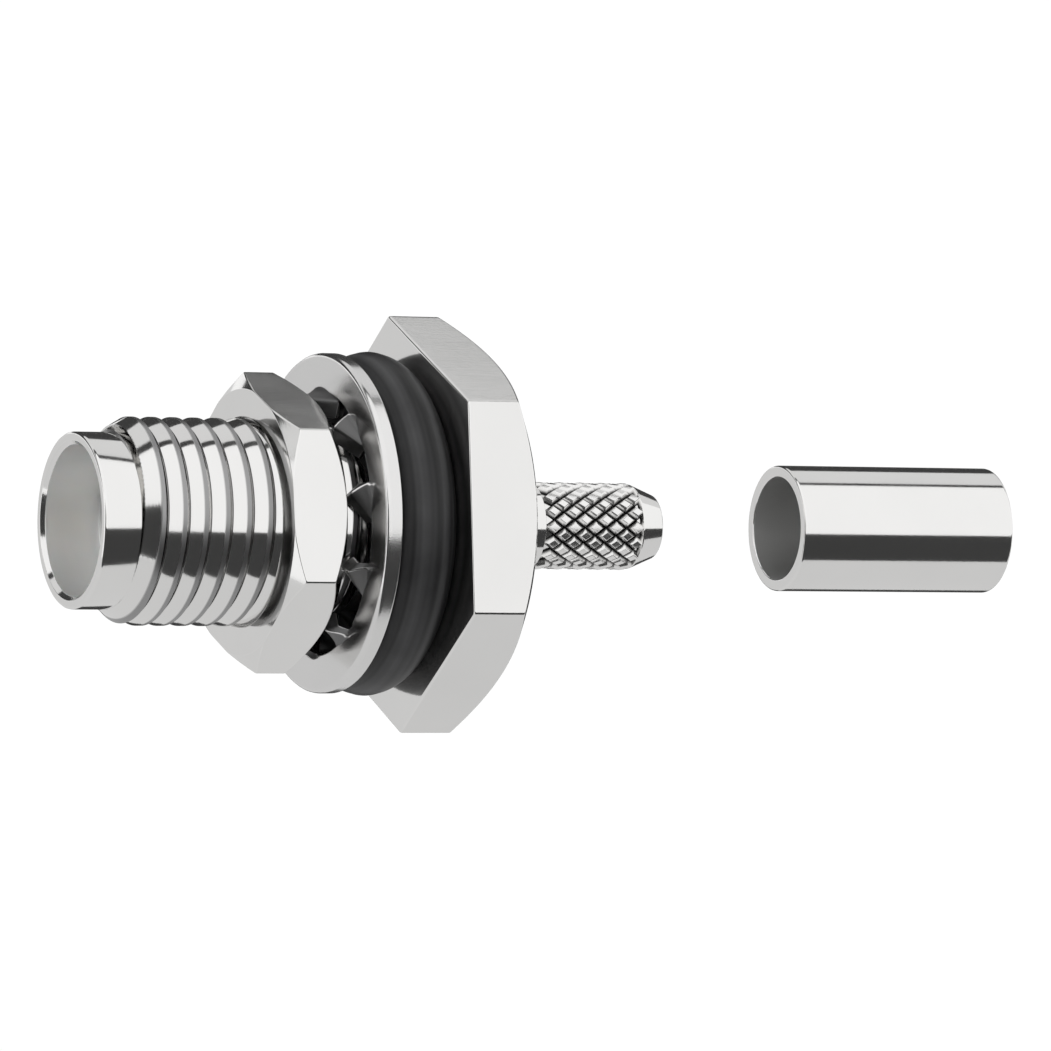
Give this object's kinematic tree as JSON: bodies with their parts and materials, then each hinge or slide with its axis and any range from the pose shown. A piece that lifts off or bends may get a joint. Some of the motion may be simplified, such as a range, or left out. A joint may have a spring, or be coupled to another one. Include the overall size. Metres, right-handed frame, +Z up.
{
  "type": "threaded coaxial bulkhead jack",
  "caption": "Threaded coaxial panel jack with hexagonal flange, sealing ring, lock washer, panel nut, knurled crimp stem and a loose crimp ferrule.",
  "frame": {"origin": "where the connector's axis crosses the flange face that the panel is clamped against", "axes": "+X along the connector from its mating end towards its cable end, +Z up and square to a pair of the flange's flats"},
  "size_m": [0.0316, 0.013, 0.0112],
  "materials": {
    "plated_body": "bright nickel plate over turned brass",
    "insulator": "machined white fluoropolymer",
    "gold_contact": "thin gold plate",
    "seal_rubber": "moulded black rubber, slight sheen",
    "spring_steel": "stamped and plated spring steel",
    "plated_nut": "bright nickel plate, milled flats",
    "plated_ferrule": "bright nickel plate over drawn tube"
  },
  "bodies": {
    "connector": {"body": "plated_body", "insulator": "insulator", "center_contact": "gold_contact", "o_ring": "seal_rubber"},
    "washer": {"lock_washer": "spring_steel"},
    "nut": {"hex_nut": "plated_nut"},
    "ferrule": {"crimp_ferrule": "plated_ferrule"}
  },
  "joints": [
    {"name": "washer_slide", "type": "slide", "parent": "connector", "child": "washer", "axis": [-1, 0, 0], "range_m": [0, 0.00423]},
    {"name": "nut_turn", "type": "hinge", "parent": "washer", "child": "nut", "pos_m": [0, 0, 0], "axis": [-1, 0, 0], "range_deg": [0, 2160]},
    {"name": "ferrule_slide", "type": "slide", "parent": "connector", "child": "ferrule", "axis": [-1, 0, 0], "range_m": [0, 0.01088]}
  ],
  "couplings": [
    {"joint": "nut_turn", "follows": "washer_slide", "rad_per_m": 8905.3}
  ]
}
